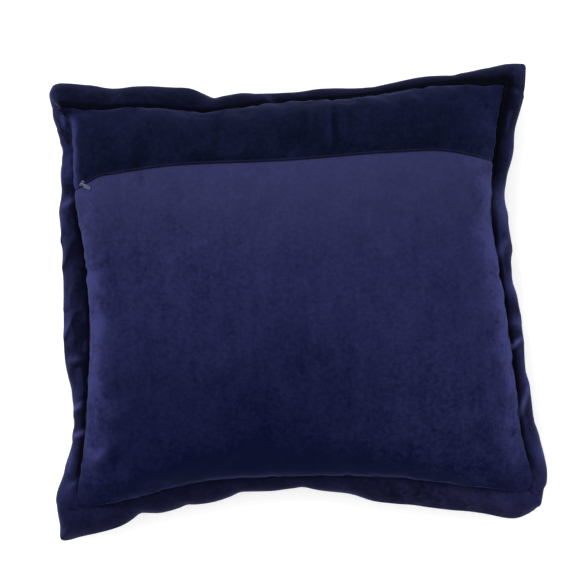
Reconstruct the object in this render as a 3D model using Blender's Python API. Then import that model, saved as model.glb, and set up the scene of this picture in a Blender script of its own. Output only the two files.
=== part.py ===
"""Square velvet cushion with a flange border and a zipped back, lying on its front face.

Sizes are in millimetres until a mesh is made. +X runs to the right and +Y to the zipped end
of the back, which faces +Z. Heights are counted from the stitched line, where the filled body
ends and the flange begins, until the whole cushion is stood on the surface at the end.
"""

import math
from collections import namedtuple
from functools import lru_cache

import bmesh
import bpy
from mathutils import Matrix, Vector
from mathutils.bvhtree import BVHTree

MM = 0.001
CLEARANCE = 0.3            # left between pieces that touch

# Filled body
CROWN = 66.0               # the back's rise above the stitched line
BELLY = 62.0               # the front's depth below it, before the surface flattens it
REST_DEPTH = 53.0          # how far below the stitched line the surface lies
RIM_THICKNESS = 3.0        # both panels together, where they are stitched
BACK_SWELL = 9.0           # how far the filling pushes the back out over the flange
FRONT_SWELL = 2.0
SWELL_SHARE = 0.03         # where that push is greatest, as a share of the way in
LIFT_POWER = 1.5           # more keeps a corner's lift closer to the corner

# Flange, which is both panels' edges stitched flat together
FLANGE_WIDTH = 30.0
FLANGE_THICKNESS = 3.0
FLANGE_STEPS = (0.0, 0.17, 0.5, 1.0)
FLANGE_CURL = 1.35         # 1 is straight; more starts level and turns down later
CORNER_SHARE = 0.08        # last share of a side, where its flange fans out to the corner
CORNER_FAN = 1.5           # more keeps the fan closer to the corner

# Zip seam across the back, as places that its smooth line passes in plan
Place = namedtuple("Place", "x y")
ZIP_SEAM = (
    Place(-214, 126.0), Place(-202, 129.5), Place(-140, 138.5), Place(0, 140.5),
    Place(110, 144.5), Place(151, 144.5), Place(200, 133.0), Place(212, 129.0),
)
ZIP_HALF_WIDTH = 0.022     # share of the way from the middle to a side
ZIP_DEPTH = 2.6
ZIP_FADE = 3.0             # how soon the seam's channel reaches its depth, in from the sides

# Where the body's grid has its lines, as shares of the way in from a side
EDGE_SHARES = (0.0, 0.004, 0.012, 0.03, 0.06, 0.1)
COLUMN_STEPS = 24
ROW_STEPS_BELOW_ZIP = 20
ROW_STEPS_ABOVE_ZIP = 3

# Zip slider and its pull
SLIDER_AT = (-206.0, 127.5)
SLIDER_HEADING = 24.0      # degrees from +X, along the zip's end
SLIDER_PLATE = (8.0, 3.6, 1.0)
ARCH_HALF_SPAN = 1.8
ARCH_LEG = 1.6
ARCH_WIRE = 0.5            # radius
PULL_LENGTH = 9.6          # from the eye's centre to the middle of the round tip
PULL_TIP_RADIUS = 2.4
PULL_NECK_RADIUS = 2.0
PULL_THICKNESS = 1.1
PULL_EYE_RADIUS = 1.1
PULL_SWING = -64.0         # degrees from the slider's heading
PULL_BEVEL = 0.25

# Each corner: its place on the stitched line, how far it lifts, and how far out and down from
# there the flange's own corner lies.
Corner = namedtuple("Corner", "x y lift out_x out_y drop")
CORNERS = {
    "top_left": Corner(-225.5, 200.5, 6.0, -13.5, 25.0, 22.0),
    "top_right": Corner(214.5, 207.5, 8.0, 25.5, 20.5, 14.0),
    "bottom_right": Corner(230.5, -203.0, -4.0, 7.0, -12.0, 31.0),
    "bottom_left": Corner(-229.0, -203.0, -2.0, -16.0, -25.0, 23.0),
}

# Each side, with a row for each fold: the place along the side, how far the stitched line is
# from the middle, and how far the flange reaches out past that line as seen from above.
Fold = namedtuple("Fold", "along line reach")
SIDES = {
    "top": (
        Fold(-198, 196.0, 26.8),
        Fold(-174, 196.0, 23.5),
        Fold(-150, 196.2, 24.6),
        Fold(-120, 192.8, 25.4),
        Fold(-96, 188.8, 27.0),
        Fold(-72, 187.8, 18.7),
        Fold(-45, 191.5, 18.0),
        Fold(-28, 193.7, 13.3),
        Fold(6, 195.2, 11.3),
        Fold(40, 196.4, 13.4),
        Fold(84, 199.4, 9.2),
        Fold(135, 206.0, 11.0),
        Fold(165, 208.3, 10.2),
        Fold(186, 206.8, 15.2),
        Fold(203, 206.0, 19.5),
    ),
    "right": (
        Fold(-192, 227.5, 14.3),
        Fold(-175, 223.5, 19.3),
        Fold(-150, 217.5, 21.5),
        Fold(-128, 215.3, 18.0),
        Fold(-108, 214.0, 17.5),
        Fold(-84, 212.4, 14.6),
        Fold(-60, 210.5, 15.5),
        Fold(-30, 207.2, 17.2),
        Fold(-4, 204.8, 16.8),
        Fold(12, 202.6, 12.4),
        Fold(42, 198.8, 19.4),
        Fold(72, 194.8, 20.7),
        Fold(96, 195.0, 18.2),
        Fold(114, 196.0, 19.2),
        Fold(138, 199.2, 23.3),
        Fold(165, 204.0, 22.6),
        Fold(190, 209.0, 25.4),
    ),
    "bottom": (
        Fold(-205, 196.0, 27.8),
        Fold(-180, 191.0, 26.0),
        Fold(-162, 187.5, 19.0),
        Fold(-145, 184.0, 23.5),
        Fold(-112, 177.6, 23.0),
        Fold(-84, 175.7, 21.8),
        Fold(-54, 175.3, 13.5),
        Fold(-30, 175.5, 14.6),
        Fold(0, 175.8, 10.2),
        Fold(20, 176.2, 16.0),
        Fold(48, 177.2, 19.3),
        Fold(70, 178.2, 25.0),
        Fold(105, 181.6, 26.9),
        Fold(140, 187.0, 27.2),
        Fold(180, 193.6, 26.4),
        Fold(206, 197.6, 26.8),
    ),
    "left": (
        Fold(-190, 223.5, 23.5),
        Fold(-165, 217.0, 21.0),
        Fold(-140, 212.2, 17.0),
        Fold(-122, 210.0, 14.6),
        Fold(-105, 208.3, 15.5),
        Fold(-84, 207.0, 19.0),
        Fold(-54, 205.0, 27.0),
        Fold(-20, 203.2, 28.4),
        Fold(20, 202.6, 27.9),
        Fold(60, 204.8, 25.2),
        Fold(96, 208.8, 22.7),
        Fold(120, 210.8, 17.0),
        Fold(138, 211.0, 16.8),
        Fold(157, 211.3, 12.0),
        Fold(186, 213.0, 18.6),
    ),
}
FIRST_CORNER = {
    "top": "top_left", "right": "bottom_right", "bottom": "bottom_left", "left": "bottom_left"
}
LAST_CORNER = {
    "top": "top_right", "right": "top_right", "bottom": "bottom_right", "left": "top_left"
}
OUTWARD = {
    "top": Vector((0, 1, 0)), "right": Vector((1, 0, 0)),
    "bottom": Vector((0, -1, 0)), "left": Vector((-1, 0, 0)),
}

VELVET = ((0.020, 0.021, 0.075, 1.0), 0.85, 0.0)
VELVET_EDGE = ((0.014, 0.014, 0.050, 1.0), 0.85, 0.0)
ZIP_METAL = ((0.10, 0.11, 0.20, 1.0), 0.40, 0.6)


def clear_scene():
    for thing in list(bpy.data.objects):
        bpy.data.objects.remove(thing, do_unlink=True)


def make_material(name, look):
    colour, roughness, metallic = look
    material = bpy.data.materials.new(name)
    material.use_nodes = True
    shader = material.node_tree.nodes["Principled BSDF"]
    shader.inputs["Base Color"].default_value = colour
    shader.inputs["Roughness"].default_value = roughness
    shader.inputs["Metallic"].default_value = metallic
    return material


def add_object(name, bm, material):
    """Turns a bmesh in millimetres into a named object in metres."""
    bmesh.ops.recalc_face_normals(bm, faces=bm.faces)
    bm.transform(Matrix.Scale(MM, 4))
    mesh = bpy.data.meshes.new(name)
    bm.to_mesh(mesh)
    bm.free()
    mesh.materials.append(material)
    mesh.shade_smooth()
    mesh.set_sharp_from_angle(angle=math.radians(50))
    thing = bpy.data.objects.new(name, mesh)
    bpy.context.scene.collection.objects.link(thing)
    return thing


def mix(start, end, share):
    return start + (end - start) * share


def smooth_value(points, at):
    """Height of the smooth curve through points (along, value), at one place along it."""
    for k in range(1, len(points) - 1):
        if at < points[k][0]:
            break
    else:
        k = len(points) - 1
    before, start = points[max(k - 2, 0)], points[k - 1]
    end, after = points[k], points[min(k + 1, len(points) - 1)]
    span = end[0] - start[0]
    slope_in = (end[1] - before[1]) / (end[0] - before[0]) * span
    slope_out = (after[1] - start[1]) / (after[0] - start[0]) * span
    t = (at - start[0]) / span
    return (
        (2 * t**3 - 3 * t**2 + 1) * start[1]
        + (t**3 - 2 * t**2 + t) * slope_in
        + (3 * t**2 - 2 * t**3) * end[1]
        + (t**3 - t**2) * slope_out
    )


def corner_line(side, corner):
    """A corner as (place along the side, distance of the stitched line from the middle)."""
    if side in ("top", "bottom"):
        return corner.x, abs(corner.y)
    return corner.y, abs(corner.x)


def side_point(side, share):
    """Place in plan on the stitched line, from -1 at a side's first corner to 1 at its last."""
    first = corner_line(side, CORNERS[FIRST_CORNER[side]])
    last = corner_line(side, CORNERS[LAST_CORNER[side]])
    along = mix(first[0], last[0], (share + 1) / 2)
    line = smooth_value([first, *((f.along, f.line) for f in SIDES[side]), last], along)
    if side in ("top", "bottom"):
        return Vector((along, line * OUTWARD[side].y, 0))
    return Vector((line * OUTWARD[side].x, along, 0))


def lift_at(a, b):
    """Rise of the stitched line towards its corners."""
    lower = mix(CORNERS["bottom_left"].lift, CORNERS["bottom_right"].lift, (a + 1) / 2)
    upper = mix(CORNERS["top_left"].lift, CORNERS["top_right"].lift, (a + 1) / 2)
    return mix(lower, upper, (b + 1) / 2) * abs(a * b) ** LIFT_POWER


def plan_point(a, b):
    """Place in plan inside the stitched line. a and b run from -1 to 1 between the sides."""
    u, v = (a + 1) / 2, (b + 1) / 2
    between_ends = mix(side_point("bottom", a), side_point("top", a), v)
    between_sides = mix(side_point("left", b), side_point("right", b), u)
    lower = mix(side_point("bottom", -1), side_point("bottom", 1), u)
    upper = mix(side_point("top", -1), side_point("top", 1), u)
    return between_ends + between_sides - mix(lower, upper, v)


def dome(share):
    """Filling's profile from 1 in the middle to 0 at a side, upright where it leaves the side."""
    return math.sqrt(max(math.cos(math.pi / 2 * share), 0.0))


def swell(share):
    """How much the filling pushes out past the stitched line, from 0 there to 1 just inside it."""
    inside = (1 - abs(share)) / SWELL_SHARE
    return math.copysign(inside * math.exp(1 - inside), share)


@lru_cache(maxsize=None)
def zip_share(a):
    """Where the zip seam crosses a column of the body's grid."""
    low, high = 0.0, EDGE_SHARES[0] + 1
    for _ in range(30):
        middle = (low + high) / 2
        point = plan_point(a, middle)
        if point.y < smooth_value(ZIP_SEAM, point.x):
            low = middle
        else:
            high = middle
    return low


def column_shares():
    reach = 1 - EDGE_SHARES[-1]
    middle = [mix(-reach, reach, k / COLUMN_STEPS) for k in range(1, COLUMN_STEPS)]
    return [s - 1 for s in EDGE_SHARES] + middle + [1 - s for s in reversed(EDGE_SHARES)]


def row_shares(a):
    """Rows of the body's grid in one column. Three of them run along the zip seam."""
    reach = 1 - EDGE_SHARES[-1]
    seam = zip_share(a)
    below, above = seam - ZIP_HALF_WIDTH, seam + ZIP_HALF_WIDTH
    lower = [mix(-reach, below, k / ROW_STEPS_BELOW_ZIP) for k in range(1, ROW_STEPS_BELOW_ZIP + 1)]
    upper = [mix(above, reach, k / ROW_STEPS_ABOVE_ZIP) for k in range(ROW_STEPS_ABOVE_ZIP)]
    edge = [s - 1 for s in EDGE_SHARES]
    return edge + lower + [seam] + upper + [1 - s for s in reversed(EDGE_SHARES)]


def body_point(a, b, on_back):
    """Point on the back or the front of the filled body."""
    point = plan_point(a, b)
    most = BACK_SWELL if on_back else FRONT_SWELL
    point.x += most * swell(a) * dome(b)
    point.y += most * swell(b) * dome(a)
    fullness = dome(a) * dome(b)
    if on_back:
        on_zip = max(1 - abs(b - zip_share(a)) / ZIP_HALF_WIDTH, 0.0)
        sewn_in = ZIP_DEPTH * on_zip * min(fullness * ZIP_FADE, 1.0)
        point.z = RIM_THICKNESS / 2 + CROWN * fullness - sewn_in + lift_at(a, b)
    else:
        point.z = max(lift_at(a, b) - RIM_THICKNESS / 2 - BELLY * fullness, -REST_DEPTH)
    return point


def build_body(material):
    """Filled body: one grid for the front and one for the back, joined round the stitched line."""
    columns = column_shares()
    across, along = len(columns) - 1, len(row_shares(0)) - 1
    bm = bmesh.new()
    bmesh.ops.create_grid(bm, x_segments=across, y_segments=along, size=0.5)
    raised = bmesh.ops.extrude_face_region(bm, geom=bm.faces[:], use_keep_orig=True)
    back = {v for v in raised["geom"] if isinstance(v, bmesh.types.BMVert)}
    for v in bm.verts:
        a = columns[round((v.co.x + 0.5) * across)]
        b = row_shares(a)[round((v.co.y + 0.5) * along)]
        v.co = body_point(a, b, v in back)
    return add_object("filled_body", bm, material)


def halved(shares):
    """The same shares with one more between each two that lie well apart."""
    out = [shares[0]]
    for before, share in zip(shares, shares[1:]):
        if share - before > EDGE_SHARES[-1] / 2:
            out.append(mix(before, share, 0.5))
        out.append(share)
    return out


def root_point(side, share, shares):
    """Place on the body's own straight-edged rim, so that the flange follows it exactly."""
    before = max(s for s in shares if s <= share)
    after = min(s for s in shares if s >= share)
    if before == after:
        return side_point(side, share)
    return mix(side_point(side, before), side_point(side, after), (share - before) / (after - before))


def flange_section(side, share, shares):
    """Where one section of the flange starts, and how far out and down its edge lies."""
    root = root_point(side, share, shares)
    along = root.x if side in ("top", "bottom") else root.y
    folds = SIDES[side]
    first, last = CORNERS[FIRST_CORNER[side]], CORNERS[LAST_CORNER[side]]
    ends = [
        (corner_line(side, c)[0], abs(c.out_y if side in ("top", "bottom") else c.out_x))
        for c in (first, last)
    ]
    reach = smooth_value([ends[0], *((f.along, f.reach) for f in folds), ends[1]], along)
    hang = math.sqrt(max(1 - (reach / FLANGE_WIDTH) ** 2, 0.0))
    straight = OUTWARD[side] * (reach - hang * FLANGE_THICKNESS / 2)
    straight.z = -hang * FLANGE_WIDTH
    corner = last if share > 0 else first
    at_corner = Vector((corner.out_x, corner.out_y, -corner.drop))
    fan = max(1 - math.sqrt((1 - abs(share)) / CORNER_SHARE), 0.0) ** CORNER_FAN
    a, b = {"top": (share, 1), "bottom": (share, -1), "right": (1, share), "left": (-1, share)}[side]
    root.z = lift_at(a, b)
    return root, straight.lerp(at_corner, fan)


def flange_sections():
    """Sections round the whole flange, clockwise from the top left corner."""
    columns = column_shares()
    around = []
    for side, shares, backwards in (
        ("top", columns, False), ("right", row_shares(1), True),
        ("bottom", columns, True), ("left", row_shares(-1), False),
    ):
        order = halved(shares)
        if backwards:
            order = order[::-1]
        around += [flange_section(side, share, shares) for share in order[:-1]]
    roots = [root for root, _ in around]
    neighbours = zip(roots[-1:] + roots[:-1], roots, roots[1:] + roots[:1])
    return [(root + gap_at(*three), tip) for (root, tip), three in zip(around, neighbours)]


def gap_at(before, root, after):
    """Step that clears the body by the same gap on both sides of a place on its rim."""
    outward = [Vector((before.y - root.y, root.x - before.x, 0)).normalized(),
               Vector((root.y - after.y, after.x - root.x, 0)).normalized()]
    return (outward[0] + outward[1]) * (CLEARANCE / (1 + outward[0].dot(outward[1])))


def flange_point(section, share):
    """Middle of the flange's cloth, at a share of the way from the stitched line to its edge."""
    root, tip = section
    out = 1 - (1 - share) ** FLANGE_CURL
    return root + Vector((tip.x * out, tip.y * out, tip.z * share**FLANGE_CURL))


def flange_normal(sections, k, share):
    """Upward normal of the flange's cloth. It is upright at the stitched line."""
    if share == 0:
        return Vector((0, 0, 1))
    step = 0.05
    outwards = flange_point(sections[k], share) - flange_point(sections[k], share - step)
    sideways = flange_point(sections[(k + 1) % len(sections)], share) - flange_point(sections[k - 1], share)
    return sideways.cross(outwards).normalized()


def ring_edges(ring):
    return list({e for v in ring for e in v.link_edges if all(w in ring for w in e.verts)})


def build_flange(material):
    """Flange: one ring round the cushion for each line of its section, over the back and under."""
    sections = flange_sections()
    lines = [(share, 1) for share in FLANGE_STEPS] + [(share, -1) for share in reversed(FLANGE_STEPS)]
    bm = bmesh.new()
    place = bm.verts.layers.int.new("section")
    ring = bmesh.ops.create_circle(bm, segments=len(sections), radius=1)["verts"]
    for k, v in enumerate(ring):
        v[place] = k
    first = set(ring)
    for share, face in lines:
        for v in ring:
            k = v[place]
            offset = flange_normal(sections, k, share) * (face * FLANGE_THICKNESS / 2)
            v.co = flange_point(sections[k], share) + offset
        if (share, face) != lines[-1]:
            grown = bmesh.ops.extrude_edge_only(bm, edges=ring_edges(set(ring)))["geom"]
            ring = [v for v in grown if isinstance(v, bmesh.types.BMVert)]
    bmesh.ops.bridge_loops(bm, edges=ring_edges(first) + ring_edges(set(ring)))
    return add_object("flange", bm, material)


def body_tree(body):
    return BVHTree.FromObject(body, bpy.context.evaluated_depsgraph_get())


def body_frame(tree, x, y, heading):
    """Frame on the body's back at a place in plan, with its X axis along a heading."""
    place, normal, _, _ = tree.ray_cast(Vector((x, y, CROWN * 2)) * MM, Vector((0, 0, -1)))
    turn = math.radians(heading)
    along = Vector((math.cos(turn), math.sin(turn), 0))
    along = (along - normal * along.dot(normal)).normalized()
    turned = Matrix((along, normal.cross(along), normal)).transposed().to_4x4()
    return Matrix.Translation(place / MM) @ turned


def gap_to_body(bm, placed, tree):
    """Least distance of a placed piece's faces from the body. It is negative inside the body."""
    least = math.inf
    for face in bm.faces:
        centre = face.calc_center_median()
        for v in face.verts:
            for share in (0.0, 0.5, 1.0):
                point = placed @ centre.lerp(v.co, share) * MM
                nearest, normal, _, distance = tree.find_nearest(point)
                least = min(least, math.copysign(distance, (point - nearest).dot(normal)) / MM)
    return least


def lowest_clear(bm, place_at, low, high, tree):
    """Smallest setting between low and high whose place keeps the piece clear of the body."""
    for _ in range(20):
        middle = (low + high) / 2
        if gap_to_body(bm, place_at(middle), tree) < CLEARANCE:
            low = middle
        else:
            high = middle
    return place_at(high)


def build_slider(tree, material):
    """Zip slider: a rounded plate in the seam with an arch over it. Returns its frame as well."""
    length, width, thickness = SLIDER_PLATE
    bm = bmesh.new()
    bmesh.ops.create_cube(bm, size=1, matrix=Matrix.Diagonal((length, width, thickness, 1)))
    upright = [e for e in bm.edges if abs(e.verts[0].co.z - e.verts[1].co.z) > thickness / 2]
    bmesh.ops.bevel(bm, geom=upright, offset=width * 0.4, segments=4, profile=0.5, affect="EDGES")
    frame = body_frame(tree, *SLIDER_AT, SLIDER_HEADING)
    placed = lowest_clear(bm, lambda lift: frame @ Matrix.Translation((0, 0, lift)), 0, 10, tree)
    bm.transform(placed)
    plate = add_object("zip_slider", bm, material)

    curve = bpy.data.curves.new("arch", "CURVE")
    curve.dimensions = "3D"
    curve.bevel_depth = ARCH_WIRE * MM
    curve.bevel_resolution = 2
    curve.use_fill_caps = True
    bend = [math.pi * k / 10 for k in range(11)]
    route = [(ARCH_HALF_SPAN, 0, 0)]
    route += [(ARCH_HALF_SPAN * math.cos(t), 0, ARCH_LEG + ARCH_HALF_SPAN * math.sin(t)) for t in bend]
    route += [(-ARCH_HALF_SPAN, 0, 0)]
    spline = curve.splines.new("POLY")
    spline.points.add(len(route) - 1)
    for point, place in zip(spline.points, route):
        point.co = (*(placed @ Vector(place) * MM), 1)
    arch = bpy.data.objects.new("arch", curve)
    bpy.context.scene.collection.objects.link(arch)
    add_boolean(plate, as_cutter(arch), "UNION")
    return plate, placed


def pull_outline():
    """Teardrop round the eye at one end and the wider tip at the other, along X."""
    lean = math.asin((PULL_TIP_RADIUS - PULL_NECK_RADIUS) / PULL_LENGTH)
    points = []
    for centre, radius, start, end in (
        (PULL_LENGTH, PULL_TIP_RADIUS, -math.pi / 2 - lean, math.pi / 2 + lean),
        (0, PULL_NECK_RADIUS, math.pi / 2 + lean, 3 * math.pi / 2 - lean),
    ):
        for k in range(11):
            angle = mix(start, end, k / 10)
            points.append((centre + radius * math.cos(angle), radius * math.sin(angle), 0))
    return points


def build_pull(tree, slider_frame, material):
    """Zip pull, hung by its eye on the arch's lower leg and laid on the body."""
    bm = bmesh.new()
    outline = [bm.verts.new(place) for place in pull_outline()]
    raised = bmesh.ops.extrude_face_region(bm, geom=[bm.faces.new(outline)], use_keep_orig=True)
    top = [v for v in raised["geom"] if isinstance(v, bmesh.types.BMVert)]
    bmesh.ops.translate(bm, verts=top, vec=(0, 0, PULL_THICKNESS))
    bmesh.ops.translate(bm, verts=bm.verts, vec=(0, 0, -PULL_THICKNESS / 2))
    rims = [e for e in bm.edges if abs(e.verts[0].co.z - e.verts[1].co.z) < PULL_BEVEL]
    bmesh.ops.bevel(bm, geom=rims, offset=PULL_BEVEL, segments=2, profile=0.5, affect="EDGES")

    above_plate = SLIDER_PLATE[2] / 2 + CLEARANCE + PULL_THICKNESS
    hung = slider_frame @ Matrix.Translation((ARCH_HALF_SPAN, 0, above_plate))
    hung = hung @ Matrix.Rotation(math.radians(PULL_SWING), 4, "Z")
    placed = lowest_clear(
        bm, lambda tilt: hung @ Matrix.Rotation(math.radians(-tilt), 4, "Y"), -20, 60, tree
    )
    bm.transform(placed)
    pull = add_object("zip_pull", bm, material)

    eye = bmesh.new()
    bmesh.ops.create_cone(
        eye, cap_ends=True, segments=20, radius1=PULL_EYE_RADIUS, radius2=PULL_EYE_RADIUS,
        depth=PULL_THICKNESS * 3, matrix=placed,
    )
    add_boolean(pull, as_cutter(add_object("eye", eye, material)), "DIFFERENCE")
    return pull


def as_cutter(thing):
    thing.hide_render = True
    thing.display_type = "WIRE"
    return thing


def add_boolean(target, tool, operation):
    """Joins or cuts with a tool and keeps the result as the target's own mesh."""
    if tool.type == "CURVE":
        tool = curve_as_mesh(tool)
    modifier = target.modifiers.new(operation.lower(), "BOOLEAN")
    modifier.operation = operation
    modifier.object = tool
    bpy.context.view_layer.update()
    finished = target.evaluated_get(bpy.context.evaluated_depsgraph_get())
    target.data = bpy.data.meshes.new_from_object(finished)
    target.modifiers.clear()
    bpy.data.objects.remove(tool, do_unlink=True)


def curve_as_mesh(curve):
    """The same shape as a mesh object, because a Boolean takes no curve."""
    mesh = bpy.data.meshes.new_from_object(curve.evaluated_get(bpy.context.evaluated_depsgraph_get()))
    thing = bpy.data.objects.new(curve.name + "_mesh", mesh)
    bpy.context.scene.collection.objects.link(thing)
    bpy.data.objects.remove(curve, do_unlink=True)
    return as_cutter(thing)


def stand_on_surface(things):
    """Puts the middle of the cushion's base at the origin, with its flat part on the surface."""
    corners = [v.co for thing in things for v in thing.data.vertices]
    low = Vector([min(c[k] for c in corners) for k in range(3)])
    high = Vector([max(c[k] for c in corners) for k in range(3)])
    shift = Vector((-(low.x + high.x) / 2, -(low.y + high.y) / 2, -low.z))
    for thing in things:
        thing.data.transform(Matrix.Translation(shift))


def main():
    clear_scene()
    velvet = make_material("velvet", VELVET)
    velvet_edge = make_material("velvet_flange", VELVET_EDGE)
    metal = make_material("zip_metal", ZIP_METAL)
    body = build_body(velvet)
    flange = build_flange(velvet_edge)
    tree = body_tree(body)
    slider, slider_frame = build_slider(tree, metal)
    pull = build_pull(tree, slider_frame, metal)
    stand_on_surface([body, flange, slider, pull])


main()
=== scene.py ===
"""Looks of a square navy velvet cushion with a flange border, lying on its front face.

Lengths are in metres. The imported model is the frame: +X runs to the right of the zipped back,
+Y to its zipped end and +Z out of it. The filled body is swelled by a cloth simulation from its
solid. The flange, the seam's folded lip, the stitches and the zip are then fitted to it.
"""

import math
import random
from collections import namedtuple

import bmesh
import bpy
import numpy as np
from mathutils import Matrix, Vector
from mathutils.bvhtree import BVHTree
from mathutils.kdtree import KDTree


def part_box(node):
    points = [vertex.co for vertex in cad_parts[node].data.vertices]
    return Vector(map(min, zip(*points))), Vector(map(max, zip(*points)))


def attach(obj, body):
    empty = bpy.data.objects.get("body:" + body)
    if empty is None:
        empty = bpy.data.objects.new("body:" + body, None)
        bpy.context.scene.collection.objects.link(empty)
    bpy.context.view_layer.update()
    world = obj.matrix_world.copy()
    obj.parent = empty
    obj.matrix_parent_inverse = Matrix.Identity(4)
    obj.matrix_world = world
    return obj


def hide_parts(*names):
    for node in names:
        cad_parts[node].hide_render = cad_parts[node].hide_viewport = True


MM = 0.001
BODY = "root"              # the one body that every piece rides on
WELD = 0.01 * MM

# Filled body: how its cloth is simulated and how far it may move
VOXEL = 4.6 * MM
BACK_MOVE = 5.0 * MM
FRONT_MOVE = 2.0 * MM
PRESSURE = 4.0
SIMULATED_FRAMES = 20
SLACK = -0.03              # the cloth is cut this much larger than the shape it starts from
EVENED = 3                 # how many times the remesh's steps are smoothed
RIM_HOLD = 3.0 * MM        # the cloth is held this near the stitched line
SEAM_HOLD = 2.4 * MM
ZIP_CALM = 45.0 * MM       # the cloth moves less within this distance of the zip's slider

# Stitched line where body and flange meet: the solid's only band of upright edges
RIM_LEAST, RIM_MOST = 2.5 * MM, 3.5 * MM
UPRIGHT = 0.1 * MM
SMOOTHING = 9.0 * MM       # how far its small kinks are spread
CORNER_KEPT = 35.0 * MM    # and less within this distance of its corners
WIDEN_LEFT = 5.0 * MM      # how far it is moved out on the left, the right and the top
WIDEN_RIGHT = 4.6 * MM
WIDEN_TOP = 3.4 * MM
WIDEN_LEAST = 0.45         # the share of it that is left where it is moved least
WIDEN_FOOT, WIDEN_FOOT_FADE = -0.20, 0.12
WIDEN_HOLLOW, WIDEN_HOLLOW_REACH = -0.03, 0.05
WIDEN_TOP_END, WIDEN_TOP_FADE = 0.03, 0.05
BODY_FADE = 60.0 * MM      # the body follows the line's moves within this distance of it
FLANGE_FADE = 36.0 * MM    # and so does the flange
CORNER_REACH = 14.0 * MM   # the body's corners are drawn out within this distance
CORNER_MORE = 1.0 * MM

# Zip seam across the back, as places that its smooth line passes in plan
SEAM = (
    (-0.2190, 0.1175), (-0.2085, 0.1215), (-0.1975, 0.1275), (-0.1900, 0.1312), (-0.1710, 0.1340),
    (-0.1379, 0.1378), (0.0021, 0.1400), (0.1121, 0.1440), (0.1531, 0.1438), (0.2021, 0.1325),
    (0.2180, 0.1275),
)
SEAM_DEPTH = 1.2 * MM
SEAM_HALF_WIDTH = 3.0 * MM
LIP_WIDTH = 10.0 * MM
LIP_HEIGHT = 1.0 * MM
LIP_THICKNESS = 0.8 * MM
LIP_SUNK = 0.25 * MM       # how far its edges lie in the cloth
LIP_TURN = 0.2             # the share of its width over which the fold turns under
LIP_ENDS = (-0.2075, 0.2015)
LIP_STEPS, LIP_ROWS = 260, 12

# Creases of the back: start and end in plan, depth (negative is a ridge) and half width
Crease = namedtuple("Crease", "x0 y0 x1 y1 depth half_width")
CREASES = (
    Crease(0.049, 0.146, 0.049, 0.194, 2.4 * MM, 3.4 * MM),
    Crease(0.0425, 0.148, 0.0430, 0.198, -1.6 * MM, 2.2 * MM),
    Crease(-0.072, 0.146, -0.069, 0.190, 1.3 * MM, 4.5 * MM),
    Crease(0.066, 0.152, 0.063, 0.208, 0.8 * MM, 5.0 * MM),
    Crease(-0.149, 0.137, -0.143, 0.119, 2.2 * MM, 3.5 * MM),
    Crease(-0.214, 0.034, -0.180, 0.046, 2.4 * MM, 5.0 * MM),
    Crease(-0.208, 0.020, -0.186, 0.054, -1.6 * MM, 5.0 * MM),
    Crease(-0.214, -0.158, -0.186, -0.134, -2.2 * MM, 5.0 * MM),
    Crease(-0.207, -0.172, -0.176, -0.142, 0.9 * MM, 6.0 * MM),
    Crease(0.192, 0.114, 0.206, 0.088, -1.5 * MM, 6.0 * MM),
    Crease(0.180, 0.106, 0.198, 0.076, 1.4 * MM, 6.0 * MM),
    Crease(0.216, 0.016, 0.184, 0.021, 1.1 * MM, 6.0 * MM),
    Crease(0.219, -0.045, 0.188, -0.040, 1.0 * MM, 6.0 * MM),
    Crease(0.222, -0.076, 0.192, -0.070, 0.9 * MM, 6.0 * MM),
    Crease(-0.198, -0.194, -0.146, -0.184, -1.4 * MM, 4.0 * MM),
)
# Single folds of the flange's sides: as a crease, and how strongly their ridge catches the light as a
# painted highlight
Fold = namedtuple("Fold", Crease._fields + ("light",))
FLANGE_FOLDS = (
    Fold(-0.215, 0.112, -0.226, 0.101, -1.2 * MM, 2.2 * MM, 0.45),
    Fold(-0.224, 0.076, -0.227, 0.064, -0.8 * MM, 2.0 * MM, 0.35),
    Fold(-0.228, -0.052, -0.213, -0.049, -1.0 * MM, 3.0 * MM, 0.25),
    Fold(-0.215, -0.093, -0.221, -0.104, -1.4 * MM, 1.7 * MM, 0.85),
    Fold(-0.214, -0.121, -0.224, -0.130, -1.6 * MM, 1.9 * MM, 0.80),
    Fold(-0.223, -0.139, -0.230, -0.165, -1.4 * MM, 2.0 * MM, 0.50),
    Fold(-0.224, -0.171, -0.232, -0.180, -1.2 * MM, 2.0 * MM, 0.35),
    Fold(0.207, 0.107, 0.216, 0.066, -0.8 * MM, 7.0 * MM, 0.42),
    Fold(0.215, 0.056, 0.207, 0.035, -1.2 * MM, 3.0 * MM, 0.40),
    Fold(0.215, 0.011, 0.221, -0.005, -1.2 * MM, 2.4 * MM, 0.50),
    Fold(0.218, -0.026, 0.224, -0.036, -0.6 * MM, 4.0 * MM, 0.30),
    Fold(0.226, -0.043, 0.216, -0.058, -1.4 * MM, 1.6 * MM, 0.85),
    Fold(0.230, -0.087, 0.222, -0.128, -1.4 * MM, 1.6 * MM, 0.75),
    Fold(0.238, -0.141, 0.241, -0.179, -0.8 * MM, 4.0 * MM, 0.25),
    Fold(-0.229, 0.210, -0.219, 0.180, -0.9 * MM, 1.2 * MM, 0.45),
    Fold(-0.070, 0.203, -0.058, 0.207, -0.8 * MM, 1.6 * MM, 0.35),
    Fold(-0.025, 0.205, -0.009, 0.199, -0.8 * MM, 1.1 * MM, 0.18),
)
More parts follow.
